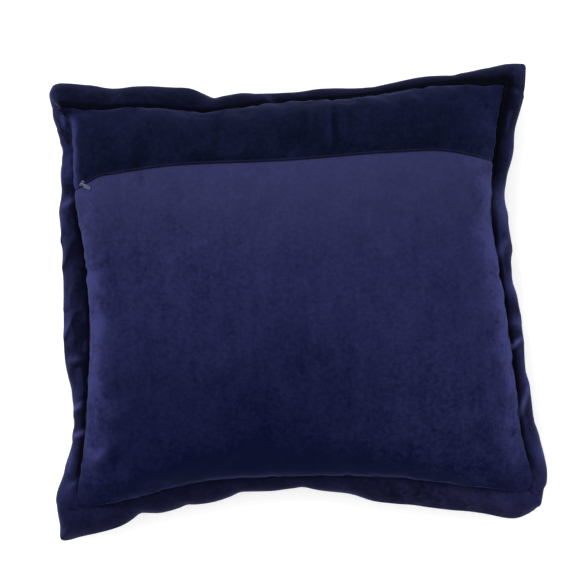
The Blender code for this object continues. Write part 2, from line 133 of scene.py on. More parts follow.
# Small gathers beside the stitches: least and most of each measure
PUCKER_GAP = (12 * MM, 34 * MM)
PUCKER_LENGTH = (8 * MM, 26 * MM)
PUCKER_DEPTH = (0.3 * MM, 1.1 * MM)
LUMP_SIZE = 70.0 * MM      # the filling's slight lumps
LUMP_HEIGHT = 0.35 * MM
LUMP_START = 40.0 * MM     # they are full past this distance from the stitched line
ROLL_HEIGHT = 6.0 * MM     # how much fuller the body's back is just inside the stitched line
ROLL_PLACE = 17.0 * MM
FOOT_CALM = 50.0 * MM      # it dies out within this distance of the foot's corners
FOOT_BLEND = 26.0 * MM     # within this distance of them, body and flange run together
FOOT_LIFT = 4.5 * MM       # how much the filling lifts the flange there

# Flange: waves that grow towards its edge, as wave length along it, height and slant
FLANGE_WIDTH = 28.0 * MM
FLANGE_TUCK = 5.0 * MM     # how far its inner edge runs on inside the body
FLANGE_SPREAD = 1.2 * MM   # how far its outer edge lies outside the solid's smoothed one
FLANGE_RISE = 4.5 * MM     # how high its cloth arches between the stitches and its edge
Wave = namedtuple("Wave", "length height slant")
FLANGE_WAVES = (
    Wave(83 * MM, 1.6 * MM, 0.5),
    Wave(49 * MM, 1.2 * MM, -0.9),
    Wave(29 * MM, 0.5 * MM, 1.2),
)
# Stretches of stronger waves: middle in plan, how far they reach, wave length, height and slant
Ruffle = namedtuple("Ruffle", "x y reach length height slant")
RUFFLES = (
    Ruffle(-0.215, -0.130, 32 * MM, 24 * MM, 5.0 * MM, 0.9),
    Ruffle(-0.208, -0.030, 34 * MM, 43 * MM, 4.0 * MM, 1.3),
    Ruffle(-0.211, 0.065, 42 * MM, 34 * MM, 4.5 * MM, 1.2),
    Ruffle(-0.216, 0.160, 26 * MM, 19 * MM, 3.2 * MM, 0.6),
    Ruffle(0.215, 0.005, 42 * MM, 33 * MM, 5.0 * MM, -1.1),
    Ruffle(0.208, 0.085, 28 * MM, 42 * MM, 4.0 * MM, -0.8),
    Ruffle(0.226, -0.100, 40 * MM, 45 * MM, 4.5 * MM, 1.0),
    Ruffle(-0.08, 0.198, 40 * MM, 46 * MM, 2.2 * MM, 0.5),
    Ruffle(0.02, -0.21, 90 * MM, 57 * MM, 1.6 * MM, 0.4),
)
# Small moves of the flange's outer edge in plan, for its corners and the cusps between waves
EdgePush = namedtuple("EdgePush", "x y reach move_x move_y")
EDGE_PUSHES = (
    EdgePush(0.232, -0.222, 16 * MM, 5 * MM, -4 * MM),
    EdgePush(-0.239, 0.227, 8 * MM, 4 * MM, -3 * MM),
    EdgePush(-0.225, 0.222, 14 * MM, 0, 2 * MM),
    EdgePush(0.245, -0.185, 20 * MM, 2 * MM, 0),
    EdgePush(0.242, -0.217, 8 * MM, -4 * MM, 2 * MM),
    EdgePush(0.214, -0.224, 14 * MM, 3 * MM, -3 * MM),
    EdgePush(-0.238, -0.226, 14 * MM, 0, -3 * MM),
    EdgePush(-0.071, 0.206, 7 * MM, 0, -2.2 * MM),
    EdgePush(0.090, 0.208, 6 * MM, 0, -1.4 * MM),
    EdgePush(0.169, 0.218, 6 * MM, 0, -1.4 * MM),
    EdgePush(-0.163, -0.207, 6 * MM, 0, 1.8 * MM),
    EdgePush(-0.114, -0.202, 5 * MM, 0, 1.0 * MM),
    EdgePush(-0.060, -0.190, 6 * MM, 0, 1.2 * MM),
    EdgePush(0.002, -0.187, 7 * MM, 0, 1.6 * MM),
)

# Zip slider and pull
SLIDER_SIZE = (6.4 * MM, 3.2 * MM, 1.1 * MM)
SLIDER_HEADING = math.radians(44)
SLIDER_SHIFT = (-1.0 * MM, -2.2 * MM, 0)
SLIDER_TAPER = 0.72        # the width of its narrow end
SLIDER_BEVEL = 0.45 * MM
SLIDER_LIFT = 0.5 * MM
BRIDGE_POINTS = 9
BRIDGE_REACH = 2.1 * MM
BRIDGE_FOOT = 0.3 * MM
BRIDGE_HEIGHT = 1.7 * MM
BRIDGE_RADIUS = 0.5 * MM
PULL_HEADING = math.radians(-34)
PULL_LENGTH = 12.4 * MM
PULL_START = 0.4 * MM
PULL_HALF_WIDTH = 2.15 * MM
PULL_THICKNESS = 1.1 * MM
PULL_BEVEL = 0.18 * MM
PULL_RIM = 0.65 * MM
PULL_SLOPE = 0.3 * MM      # how wide the step from the rim down to its sunk face is
PULL_SUNK = 0.5 * MM
PULL_RIDGE = (0.25, 0.35, 0.6, 0.78)
PULL_RIDGE_RADIUS = 0.42 * MM
HINGE_HEIGHT = 2.0 * MM
PULL_REST = 0.35 * MM      # how far its tip lies above the cloth

# Stitches along the flange's inner edge, on both faces
STITCH_LENGTH = 2.7 * MM
STITCH_PITCH = 3.6 * MM
STITCH_RADIUS = 0.30 * MM
STITCH_INSET = 1.6 * MM
STITCH_SEARCH = 12.0 * MM  # a place further above or below the line isn't the flange's face
SEARCH = 0.05              # how far above or below a place a search for the cloth starts

# Colours, among them painted light, shade, sheen and highlights
# Painted shade: the near-black of the valley beside the stitches
VALLEY_SHADE = (0.0008, 0.0008, 0.0035)
FOOT_CORNER_DARK, FOOT_CORNER_LIGHT = (0.0035, 0.0042, 0.0230), (0.0150, 0.0145, 0.0600)
LOWER_DARK, LOWER_LIGHT = (0.0018, 0.0030, 0.0215), (0.0240, 0.0258, 0.0940)
# Painted highlights on the lower panel's fold ridges
LOWER_GLINT = (0.0520, 0.0550, 0.1900)
# Painted sheen on the full roll inside the stitches
LOWER_ROLL_SHEEN = (0.0440, 0.0470, 0.1800)
# Painted sheen: a greyer tone towards the zip
LOWER_GREY_SHEEN = (0.0280, 0.0285, 0.0780)
# The upper panel: the same velvet with painted shade, for its nap runs the other way
UPPER_DARK, UPPER_LIGHT = (0.0013, 0.0024, 0.0105), (0.0072, 0.0098, 0.0420)
# Painted light on a strip beside the upper panel's left end
UPPER_CORNER_LIGHT = (0.0300, 0.0320, 0.1200)
# Painted highlight on the lip's folded edge, and painted shadow in the seam below it
LIP_EDGE_HIGHLIGHT = (0.020, 0.021, 0.060)
SEAM_SHADE = (0.0012, 0.0012, 0.005)
FLANGE_DARK, FLANGE_LIGHT = (0.0022, 0.0028, 0.0120), (0.0170, 0.0185, 0.0720)
FLANGE_VIOLET = (0.0205, 0.0190, 0.0640)
# Painted light on the flange between its top-left corner and the zip
FLANGE_CORNER_LIGHT = (0.0170, 0.0185, 0.0740)
# Painted highlights on the crests of the flange's waves
FLANGE_GLINT = (0.0500, 0.0520, 0.1650)
# Painted highlights along the flange's single folds
FLANGE_STREAK_HIGHLIGHT = (0.0560, 0.0600, 0.1900)
SHEEN = (0.32, 0.37, 1.0)
ENAMEL_DARK, ENAMEL_LIGHT = (0.072, 0.077, 0.150), (0.140, 0.148, 0.245)
# Painted shade on the zip's sunk face and on the slider's plate
ENAMEL_SUNK_SHADE = (0.020, 0.021, 0.060)
THREAD_DARK, THREAD_LIGHT = (0.002, 0.002, 0.008), (0.006, 0.006, 0.022)
FLOOR_DARK, FLOOR_LIGHT = (0.93, 0.93, 0.93), (0.95, 0.95, 0.95)
WHITE = (1.0, 1.0, 1.0)

# Patches of the body's velvet: middle in plan, size each way, and how much is added there
Patch = namedtuple("Patch", "x y width height amount")
NAP_PATCHES = (
    Patch(0.15, -0.13, 0.09, 0.08, 0.12),
    Patch(-0.02, -0.16, 0.14, 0.07, -0.06),
    Patch(-0.19, 0.10, 0.07, 0.06, -0.14),
    Patch(-0.16, -0.11, 0.07, 0.07, -0.08),
    Patch(0.15, 0.0, 0.06, 0.08, 0.06),
)
UNEVEN_PATCHES = (
    Patch(-0.13, 0.06, 0.09, 0.07, 0.5),
    Patch(0.15, -0.13, 0.09, 0.08, 0.6),
)


def numbers_of(mesh, name="co", count=3, items="vertices"):
    """A mesh's numbers as an array of rows."""
    found = np.empty(len(getattr(mesh, items)) * count, np.float32)
    getattr(mesh, items).foreach_get(name, found)
    return found.reshape(-1, count).astype(float)


def place_points(mesh, points):
    mesh.vertices.foreach_set("co", points.astype(np.float32).ravel())
    mesh.update()


def solid_copy(node):
    """The CAD solid's surface with its loose triangles joined, as a bmesh."""
    bm = bmesh.new()
    bm.from_mesh(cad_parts[node].data)
    bmesh.ops.remove_doubles(bm, verts=bm.verts, dist=WELD)
    bmesh.ops.join_triangles(
        bm, faces=bm.faces, angle_face_threshold=math.pi, angle_shape_threshold=math.pi
    )
    return bm


def piece_of(name, mesh):
    """A new smooth piece at the origin with this mesh."""
    mesh.shade_smooth()
    thing = bpy.data.objects.new(name, mesh)
    bpy.context.scene.collection.objects.link(thing)
    return thing


def piece_from(name, bm):
    mesh = bpy.data.meshes.new(name)
    bm.to_mesh(mesh)
    bm.free()
    return piece_of(name, mesh)


def finish_piece(thing, material, slot, *replaced):
    """Gives a piece its material and its body, and hides the nodes that it stands for. The slot is not
    used.
    """
    thing.data.materials.clear()
    thing.data.materials.append(material)
    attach(thing, BODY)
    if replaced:
        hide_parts(*replaced)
    return thing


def apply_modifiers(thing):
    """Keeps what the modifiers make as the piece's own mesh."""
    bpy.context.view_layer.update()
    finished = thing.evaluated_get(bpy.context.evaluated_depsgraph_get())
    mesh = bpy.data.meshes.new_from_object(finished)
    thing.modifiers.clear()
    thing.data = mesh


def subdivide(thing, levels):
    modifier = thing.modifiers.new("subdivide", "SUBSURF")
    modifier.levels = modifier.render_levels = levels
    apply_modifiers(thing)
    thing.data.shade_smooth()


def even_out(thing, times):
    """Smooths away the steps that the remesh leaves."""
    bm = bmesh.new()
    bm.from_mesh(thing.data)
    for _ in range(times):
        bmesh.ops.smooth_vert(bm, verts=bm.verts, factor=0.5)
    bm.to_mesh(thing.data)
    bm.free()


def surface_tree(thing):
    """A piece's surface, made ready for searches."""
    bm = bmesh.new()
    bm.from_mesh(thing.data)
    tree = BVHTree.FromBMesh(bm)
    bm.free()
    return tree


def meet(tree, place, up=1):
    """Where a search from above a place, or from below it if up is -1, meets a surface, and the
    surface's direction out."""
    start = place + Vector((0, 0, SEARCH * up))
    found, normal, _, _ = tree.ray_cast(start, Vector((0, 0, -up)))
    return found, normal


def box_middle(node):
    low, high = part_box(node)
    return np.array((low + high) / 2)


def out_of(forward):
    """The level direction out of the cushion, from the direction along its stitched line."""
    return np.stack([-forward[..., 1], forward[..., 0], 0 * forward[..., 0]], -1)


def seam_height(x):
    """How far up the back, in plan, the zip seam lies at x. x may be an array."""
    along = np.array([p[0] for p in SEAM])
    value = np.array([p[1] for p in SEAM])
    slope = np.gradient(value, along)
    k = np.clip(np.searchsorted(along, x) - 1, 0, len(SEAM) - 2)
    span = along[k + 1] - along[k]
    t = (np.clip(x, along[0], along[-1]) - along[k]) / span
    return (
        (2 * t**3 - 3 * t**2 + 1) * value[k] + (t**3 - 2 * t**2 + t) * slope[k] * span
        + (3 * t**2 - 2 * t**3) * value[k + 1] + (t**3 - t**2) * slope[k + 1] * span
    )


class StitchedLine:
    """The line where body and flange meet, as points in order round the cushion."""

    def __init__(self):
        bm = solid_copy("filled_body")
        found = []
        for edge in bm.edges:
            step = edge.verts[1].co - edge.verts[0].co
            if RIM_LEAST < abs(step.z) < RIM_MOST and step.to_2d().length < UPRIGHT:
                found.append((edge.verts[0].co + edge.verts[1].co) / 2)
        bm.free()
        found.sort(key=lambda p: -math.atan2(p.y, p.x))
        self.set_points(np.array(found))
        self.level = float(self.points[:, 2].mean())

    def set_points(self, points):
        self.points = points
        steps = np.linalg.norm(np.roll(points, -1, 0) - points, axis=1)
        self.along = np.concatenate([[0], np.cumsum(steps)])
        self.length = self.along[-1]

    def corners(self):
        """The farthest point of each quarter."""
        reach = np.abs(self.points[:, :2]).sum(1)
        quarter = (self.points[:, 0] > 0) * 2 + (self.points[:, 1] > 0)
        members = [np.flatnonzero(quarter == q) for q in range(4)]
        return [int(found[np.argmax(reach[found])]) for found in members]

    def to_corner(self, along):
        """Distance along the line from each place to the nearest corner."""
        apart = np.abs(np.asarray(along)[:, None] - self.along[self.corners()])
        return np.minimum(apart, self.length - apart).min(1)

    def smooth(self):
        """Spreads out the line's small kinks, except at its corners."""
        apart = np.abs(self.along[:-1, None] - self.along[None, :-1])
        apart = np.minimum(apart, self.length - apart)
        spread = SMOOTHING * np.clip(self.to_corner(self.along[:-1]) / CORNER_KEPT, 0.05, 1)
        spacing = (np.roll(self.along[:-1], -1) - np.roll(self.along[:-1], 1)) % self.length
        share = np.exp(-((apart / spread[:, None]) ** 2) / 2) * spacing[None]
        self.set_points(share @ self.points / share.sum(1)[:, None])

    def widen(self):
        """Moves the line out: the plump sides end further out than the solid's line. It moves less
        on the left near the foot and at the hollow, and on the top's right half."""
        points = self.points
        forward = np.roll(points, -1, 0) - np.roll(points, 1, 0)
        forward /= np.linalg.norm(forward, axis=1)[:, None]
        outward = out_of(forward)
        to_left, to_right = np.clip(-outward[:, 0], 0, 1), np.clip(outward[:, 0], 0, 1)
        to_top = np.clip(outward[:, 1], 0, 1)
        above_foot = (points[:, 1] - WIDEN_FOOT) / WIDEN_FOOT_FADE
        from_hollow = (points[:, 1] - WIDEN_HOLLOW) / WIDEN_HOLLOW_REACH
        less_low = np.clip(WIDEN_LEAST + above_foot, WIDEN_LEAST, 1)
        less_low *= 1 - WIDEN_LEAST * np.exp(-(from_hollow**2))
        less_right = np.clip(1 - (points[:, 0] - WIDEN_TOP_END) / WIDEN_TOP_FADE, WIDEN_LEAST, 1)
        amount = WIDEN_LEFT * to_left * less_low + WIDEN_RIGHT * to_right
        amount += WIDEN_TOP * to_top * less_right
        self.set_points(points + outward * amount[:, None])

    def by_foot_corner(self, points, reach):
        """1 at the body's two corners at the foot, falling to 0 past this reach in plan."""
        share = np.zeros(len(points))
        for k in self.corners():
            if self.points[k][1] < 0:
                away = np.linalg.norm((points - self.points[k])[:, :2], axis=1)
                share += np.exp(-((away / reach) ** 2))
        return share

    def at(self, distance):
        """Point, direction along the line and outward direction at distances along it."""
        distance = np.asarray(distance) % self.length
        last = len(self.points) - 1
        k = np.clip(np.searchsorted(self.along, distance, side="right") - 1, 0, last)
        start, end = self.points[k], self.points[(k + 1) % len(self.points)]
        share = ((distance - self.along[k]) / (self.along[k + 1] - self.along[k]))[..., None]
        forward = (end - start) / np.linalg.norm(end - start, axis=-1)[..., None]
        return start + (end - start) * share, forward, out_of(forward)

    def nearest(self, points, samples=3600):
        """Distance along the line of the place nearest to each point in plan."""
        along = np.arange(samples) / samples * self.length
        tree = KDTree(samples)
        for k, place in enumerate(self.at(along)[0]):
            tree.insert((place[0], place[1], 0), k)
        tree.balance()
        return np.array([along[tree.find((p[0], p[1], 0))[1]] for p in points])


def simulate(body, line):
    """Fills the body by pressure. It is held at its rim, its seam and its underside."""
    start = numbers_of(body.data)
    rim = line.at(line.nearest(start))[0]
    by_rim = np.linalg.norm(start - rim, axis=1) < RIM_HOLD
    on_back = start[:, 2] > line.level + RIM_HOLD
    by_seam = on_back & (np.abs(start[:, 1] - seam_height(start[:, 0])) < SEAM_HOLD)
    held = np.flatnonzero(by_rim | by_seam | (start[:, 2] < VOXEL / 3))
    body.vertex_groups.new(name="held").add([int(k) for k in held], 1.0, "REPLACE")
    cloth = body.modifiers.new("cloth", "CLOTH")
    cloth.settings.vertex_group_mass = "held"
    cloth.settings.use_pressure = True
    cloth.settings.uniform_pressure_force = PRESSURE
    cloth.settings.shrink_min = SLACK
    cloth.settings.effector_weights.gravity = 0
    for number in range(1, SIMULATED_FRAMES + 1):
        bpy.context.scene.frame_set(number)
    apply_modifiers(body)
    bpy.context.scene.frame_set(1)
    body.vertex_groups.clear()
    moved = numbers_of(body.data) - start
    from_slider = np.linalg.norm(start - box_middle("zip_slider"), axis=1)
    calm = np.clip(from_slider / ZIP_CALM, 0.05, 1)
    most = (np.where(start[:, 2] > line.level, BACK_MOVE, FRONT_MOVE) * calm)[:, None]
    length = np.maximum(np.linalg.norm(moved, axis=1)[:, None], WELD)
    place_points(body.data, start + moved / length * most * np.tanh(length / most))


def crease_depth(points, crease):
    """How deep one crease presses in at each point, in plan."""
    start = np.array([crease.x0, crease.y0])
    run = np.array([crease.x1, crease.y1]) - start
    share = np.clip((points[:, :2] - start) @ run / (run @ run), 0, 1)
    away = np.linalg.norm(points[:, :2] - start - share[:, None] * run, axis=1)
    taper = np.sin(np.pi * np.clip(0.12 + 0.76 * share, 0, 1)) ** 1.5
    return crease.depth * taper * np.exp(-((away / crease.half_width) ** 2))


def puckers(line):
    """Small gathers that run in from the stitched line, as creases of either face."""
    chance = random.Random(7)
    made, place = [], 0.0
    while place < line.length:
        point, forward, outward = line.at(place)
        length = chance.uniform(*PUCKER_LENGTH)
        lean = chance.uniform(-0.5, 0.5)
        start = point + outward * 4 * MM
        end = point - (outward + forward * lean) * length
        half_width = chance.uniform(0.14, 0.24) * length + 1.2 * MM
        made.append(Crease(*start[:2], *end[:2], chance.uniform(*PUCKER_DEPTH), half_width))
        place += chance.uniform(*PUCKER_GAP)
    return made


def follow(points, solid_line, line, fade):
    """Moves points near the solid's own stitched line onto the smoothed one."""
    along = solid_line.nearest(points)
    place = solid_line.at(along)[0]
    share = np.clip(1 - np.linalg.norm(points - place, axis=1) / fade, 0, 1)[:, None]
    return points + (line.at(line.nearest(place))[0] - place) * share


def reach_corners(points, line):
    """Draws the body's corners out to the stitched line's, which the remesh had rounded off."""
    middle = line.points.mean(0)
    for k in line.corners():
        corner = line.points[k]
        out = (corner - middle) * [1, 1, 0]
        out /= np.linalg.norm(out)
        away = np.linalg.norm((points - corner)[:, :2], axis=1)
        short = corner @ out + CORNER_MORE - (points[away < 4 * CORNER_REACH] @ out).max()
        points = points + out * (short * np.exp(-((away / CORNER_REACH) ** 2)))[:, None]
    return points


def lumps(points):
    """Slight lumps of the filling, from about -1.6 to 1.6."""
    turn = points / LUMP_SIZE * 2 * np.pi
    coarse = np.sin(turn[:, 0] + 1.3 * np.sin(turn[:, 1] * 0.7)) * np.cos(turn[:, 1] * 0.9 + 0.8)
    fine = np.sin(turn[:, 0] * 1.7 + 2.0) * np.sin(turn[:, 1] * 1.6 + 0.4 * turn[:, 0])
    return coarse + 0.6 * fine


def shape_body(body, line):
    """Presses the seam, creases, puckers and slight lumps of the filling into the body."""
    points = numbers_of(body.data)
    normals = numbers_of(body.data, "normal")
    on_back = points[:, 2] > line.level
    depth = np.zeros(len(points))
    for crease in CREASES:
        depth += crease_depth(points, crease) * on_back
    for crease in puckers(line):
        depth += crease_depth(points, crease)
    fold = -depth
    past_seam = points[:, 1] - seam_height(points[:, 0])
    depth += on_back * SEAM_DEPTH * np.exp(-((past_seam / SEAM_HALF_WIDTH) ** 2))
    rim = line.at(line.nearest(points))[0]
    inside = np.linalg.norm((points - rim)[:, :2], axis=1)
    depth += LUMP_HEIGHT * lumps(points) * np.clip(inside / LUMP_START, 0, 1) * on_back
    points = points - normals * depth[:, None]
    share = inside / ROLL_PLACE
    calm = np.linalg.norm(points - box_middle("zip_slider"), axis=1) / ZIP_CALM
    calm *= 1 - 0.95 * line.by_foot_corner(points, FOOT_CALM)
    points[:, 2] += on_back * ROLL_HEIGHT * share * np.exp(1 - share) * np.clip(calm, 0, 1)
    points[:, 2] = np.maximum(points[:, 2], 0)
    place_points(body.data, points)
    mark_cloth(body, line, fold)


def mark_cloth(thing, line, fold, streak=0):
    """Stores what the materials read, much of it for painted light and shade: distances from the seams,
    how far the cloth stands out in a fold, how strongly single folds catch the painted light and how
    far the cloth leans."""
    points = numbers_of(thing.data)
    normals = numbers_of(thing.data, "normal")
    rim = line.at(line.nearest(points))[0]
    marks = {
        "past_seam": points[:, 1] - seam_height(points[:, 0]),
        "from_stitches": np.linalg.norm(points - rim, axis=1),
        "fold": fold,
        "streak": np.full(len(points), streak, float),
        "lean": np.abs(normals[:, 0]) * 0.5 + normals[:, 1],
        "foot_corner": line.by_foot_corner(points, FOOT_BLEND),
    }
    for name, values in marks.items():
        layer = thing.data.attributes.new(name, "FLOAT", "POINT")
        layer.data.foreach_set("value", values.astype(np.float32))


def build_body(solid_line, line):
    """Filled body: the solid remeshed, swelled by simulation and shaped."""
    body = piece_from("cushion_body", solid_copy("filled_body"))
    subdivide(body, 1)
    remesh = body.modifiers.new("remesh", "REMESH")
    remesh.mode = "VOXEL"
    remesh.voxel_size = VOXEL
    apply_modifiers(body)
    even_out(body, EVENED)
    simulate(body, solid_line)
    points = follow(numbers_of(body.data), solid_line, line, BODY_FADE)
    place_points(body.data, reach_corners(points, line))
    subdivide(body, 1)
    shape_body(body, line)
    return body


def flange_waves(line, along, root, out):
    """How high the flange's cloth stands in its waves and ruffles, which grow towards its edge."""
    height = np.zeros(len(along))
    for wave in FLANGE_WAVES:
        count = round(line.length / wave.length)
        turn = 2 * np.pi * count * (along + wave.slant * out * FLANGE_WIDTH) / line.length
        uneven = 0.6 + 0.4 * np.sin(7 * 2 * np.pi * along / line.length + count)
        height += wave.height * uneven * np.sin(turn + count)
    for ruffle in RUFFLES:
        away = np.hypot(root[:, 0] - ruffle.x, root[:, 1] - ruffle.y)
        turn = 2 * np.pi * (along / ruffle.length + ruffle.slant * out)
        crest = 1.6 * np.exp(1.4 * (np.sin(turn + np.sin(turn / 3)) - 1)) - 0.75
        height += ruffle.height * crest * np.exp(-((away / ruffle.reach) ** 2))
    return height * np.clip((out - 0.12) / 0.88, 0, 1) ** 1.2


def build_flange(solid_line, line):
    """Flange: the solid's ring, with its inner edge run on into the body and its cloth waved."""
    flange = piece_from("flange_border", solid_copy("flange"))
    subdivide(flange, 2)
    points = follow(numbers_of(flange.data), solid_line, line, FLANGE_FADE)
    along = line.nearest(points)
    root, forward, outward = line.at(along)
    reach = points - root
    out = np.linalg.norm(reach, axis=1) / FLANGE_WIDTH
    across = np.cross(forward, reach)
    across /= np.maximum(np.linalg.norm(across, axis=1), WELD)[:, None]
    across *= np.where((across * (np.array([0, 0, 1]) + outward)).sum(1) < 0, -1, 1)[:, None]
    height = flange_waves(line, along, root, out)
    # How strongly each fold's ridge is painted with light
    streak = np.zeros(len(points))
    for fold in FLANGE_FOLDS:
        ridge = -crease_depth(points, fold)
        height += ridge * np.clip(out / 0.3, 0, 1)
        streak += ridge / -fold.depth * fold.light
    arch = FLANGE_RISE * np.sin(np.pi * np.clip(out, 0, 1) ** 0.8)
    points += across * (height * 0.35 + arch)[:, None]
    points[:, 2] += height * 0.65
    # At a corner the inner edges of both sides run in together, towards the middle.
    side = np.clip(line.to_corner(along) / CORNER_REACH, 0, 1)[:, None]
    diagonal = (root - line.points.mean(0)) * [1, 1, 0]
    diagonal /= np.linalg.norm(diagonal, axis=1)[:, None]
    tuck = FLANGE_TUCK * np.clip(1 - out / 0.08, 0, 1)[:, None] * (2.2 - 1.2 * side)
    points -= (outward * side + diagonal * (1 - side)) * tuck
    points += reach / FLANGE_WIDTH * FLANGE_SPREAD
    points[:, 2] += FOOT_LIFT * line.by_foot_corner(points, 0.8 * FOOT_BLEND)
    for push in EDGE_PUSHES:
        away = np.hypot(points[:, 0] - push.x, points[:, 1] - push.y)
        share = np.exp(-((away / push.reach) ** 2)) * np.clip(out, 0, 1)
        points[:, :2] += share[:, None] * np.array([push.move_x, push.move_y])
    place_points(flange.data, points)
    mark_cloth(flange, line, height, streak)
    return flange


def build_lip(body, line):
    """The upper panel's folded edge, which lies over the zip along the seam."""
    tree = surface_tree(body)
    bm = bmesh.new()
    bmesh.ops.create_grid(bm, x_segments=LIP_STEPS, y_segments=LIP_ROWS, size=0.5)
    first, last = LIP_ENDS
    for v in bm.verts:
        x = first + (last - first) * (v.co.x + 0.5)
        share = v.co.y + 0.5
        ends = min(1, (0.5 - abs(v.co.x)) * 30)
        turn = math.pi / 2 * min(share / LIP_TURN, 1)
        y = float(seam_height(np.array([x]))[0]) + LIP_WIDTH * (share - 0.06 * math.cos(turn))
        flat = 1 - max(share - LIP_TURN, 0) / (1 - LIP_TURN)
        rise = LIP_HEIGHT * ends * math.sin(turn) * flat**1.5
        place, normal = meet(tree, Vector((x, y, 1)))
        v.co = place + normal * (rise - LIP_SUNK)
    bmesh.ops.solidify(bm, geom=bm.faces[:], thickness=LIP_THICKNESS)
    lip = piece_from("seam_lip", bm)
    mark_cloth(lip, line, np.zeros(len(lip.data.vertices)))
    return lip


def bars(name, runs, radius):
    """Small round bars, tapered at their ends, as one mesh. A run is a bar's row of points."""
    curve = bpy.data.curves.new(name, "CURVE")
    curve.dimensions = "3D"
    curve.bevel_depth = radius
    curve.bevel_resolution = 1
    curve.use_fill_caps = True
    for run in runs:
        spline = curve.splines.new("POLY")
        spline.points.add(len(run) - 1)
        for k, place in enumerate(run):
            spline.points[k].co = (*place, 1)
            spline.points[k].radius = 0.45 if k in (0, len(run) - 1) else 1.0
    source = bpy.data.objects.new(name, curve)
    mesh = bpy.data.meshes.new_from_object(source)
    bpy.data.objects.remove(source)
    return piece_of(name, mesh)


def build_stitches(line, flange):
    """Stitches that hold the two edges together, on both faces of the flange."""
    tree = surface_tree(flange)
    count = round(line.length / STITCH_PITCH)
    root, forward, outward = line.at(np.arange(count) / count * line.length)
    runs = []
    for k in range(count):
        place = Vector(root[k] + outward[k] * STITCH_INSET)
        for up in (1, -1):
            found, normal = meet(tree, place, up)
            if found is None or abs(found.z - place.z) > STITCH_SEARCH:
                continue
            run = Vector(forward[k])
            run = (run - normal * run.dot(normal)).normalized() * STITCH_LENGTH
            sunk = normal * STITCH_RADIUS
            start, end = found - run * 0.5 - sunk, found + run * 0.5 - sunk
            runs.append([start, found - run * 0.32, found + run * 0.32, end])
    return bars("flange_stitches", runs, STITCH_RADIUS)


def zip_place(body):
    """Where the slider sits: its place on the cloth and the cloth's direction out there."""
    return meet(surface_tree(body), Vector(box_middle("zip_slider")) + Vector(SLIDER_SHIFT))


def laid(place, normal, heading):
    """Placement whose x runs along a heading in plan and whose z is the cloth's direction out."""
    run = Vector((math.cos(heading), math.sin(heading), 0))
    run = (run - normal * run.dot(normal)).normalized()
    turn = Matrix((run, normal.cross(run), normal)).transposed().to_4x4()
    return Matrix.Translation(place) @ turn


def build_slider(place, normal):
    """Zip slider: a rounded plate and the bridge that the pull hangs on."""
    bm = bmesh.new()
    bmesh.ops.create_cube(bm, size=1, matrix=Matrix.Diagonal((*SLIDER_SIZE, 1)))
    for v in bm.verts:
        v.co.y *= 1.0 if v.co.x > 0 else SLIDER_TAPER
    bmesh.ops.bevel(
        bm, geom=bm.edges[:], offset=SLIDER_BEVEL, segments=3, affect="EDGES", profile=0.6
    )
    # Painted shade: the whole plate is darkened, nearly as much as the pull's sunk face
    hollow = bm.verts.layers.float.new("hollow")
    for v in bm.verts:
        v[hollow] = 0.8
    plate = piece_from("zip_slider_plate", bm)
    bridge = []
    for k in range(BRIDGE_POINTS):
        turn = math.pi * k / (BRIDGE_POINTS - 1)
        height = BRIDGE_FOOT + BRIDGE_HEIGHT * math.sin(turn)
        bridge.append((-BRIDGE_REACH * math.cos(turn), 0, height))
    wire = bars("zip_slider_bridge", [bridge], BRIDGE_RADIUS)
    slider = join("zip_slider_visual", [plate, wire])
    slider.data.transform(laid(place + normal * SLIDER_LIFT, normal, SLIDER_HEADING))
    return slider


def build_pull(place, normal, body):
    """Zip pull: a teardrop tab with a raised rim and a middle ridge."""
    bm = bmesh.new()
    bmesh.ops.create_circle(bm, cap_ends=True, segments=48, radius=1)
    for v in bm.verts:
        along = v.co.x
        v.co.x = (along + 1) / 2 * PULL_LENGTH + PULL_START
        v.co.y *= PULL_HALF_WIDTH * (0.76 + 0.24 * along)
    rim = bmesh.ops.extrude_face_region(bm, geom=bm.faces[:])
    raised = [v for v in rim["geom"] if hasattr(v, "co")]
    bmesh.ops.translate(bm, verts=raised, vec=(0, 0, PULL_THICKNESS))
    bmesh.ops.recalc_face_normals(bm, faces=bm.faces)
    top = max(bm.faces, key=lambda face: face.calc_center_median().z)
    bmesh.ops.inset_region(bm, faces=[top], thickness=PULL_RIM)
    bmesh.ops.inset_region(bm, faces=[top], thickness=PULL_SLOPE, depth=-PULL_SUNK)
    # Painted shade on the pull's sunk face
    hollow = bm.verts.layers.float.new("hollow")
    for v in top.verts:
        v[hollow] = 1.0
    pull = piece_from("pull_tab", bm)
    bevel = pull.modifiers.new("bevel", "BEVEL")
    bevel.width = PULL_BEVEL
    bevel.segments = 3
    bevel.limit_method = "ANGLE"
    apply_modifiers(pull)
    floor = PULL_THICKNESS - PULL_SUNK
    run = [(share * PULL_LENGTH + PULL_START, 0, floor) for share in PULL_RIDGE]
    pull = join("zip_pull_visual", [pull, bars("pull_ridge", [run], PULL_RIDGE_RADIUS)])
    hinge = place + normal * HINGE_HEIGHT
    heading = Vector((math.cos(PULL_HEADING), math.sin(PULL_HEADING), 0))
    tip = hinge + heading * PULL_LENGTH * 0.95
    rest, out = meet(surface_tree(body), tip)
    run = (rest + out * PULL_REST - hinge).normalized()
    side = out.cross(run).normalized()
    turn = Matrix((run, side, run.cross(side))).transposed().to_4x4()
    pull.data.transform(Matrix.Translation(hinge) @ turn)
    return pull


def join(name, things):
    """One piece from several."""
    bm = bmesh.new()
    for thing in things:
        bm.from_mesh(thing.data)
        bpy.data.objects.remove(thing)
    return piece_from(name, bm)


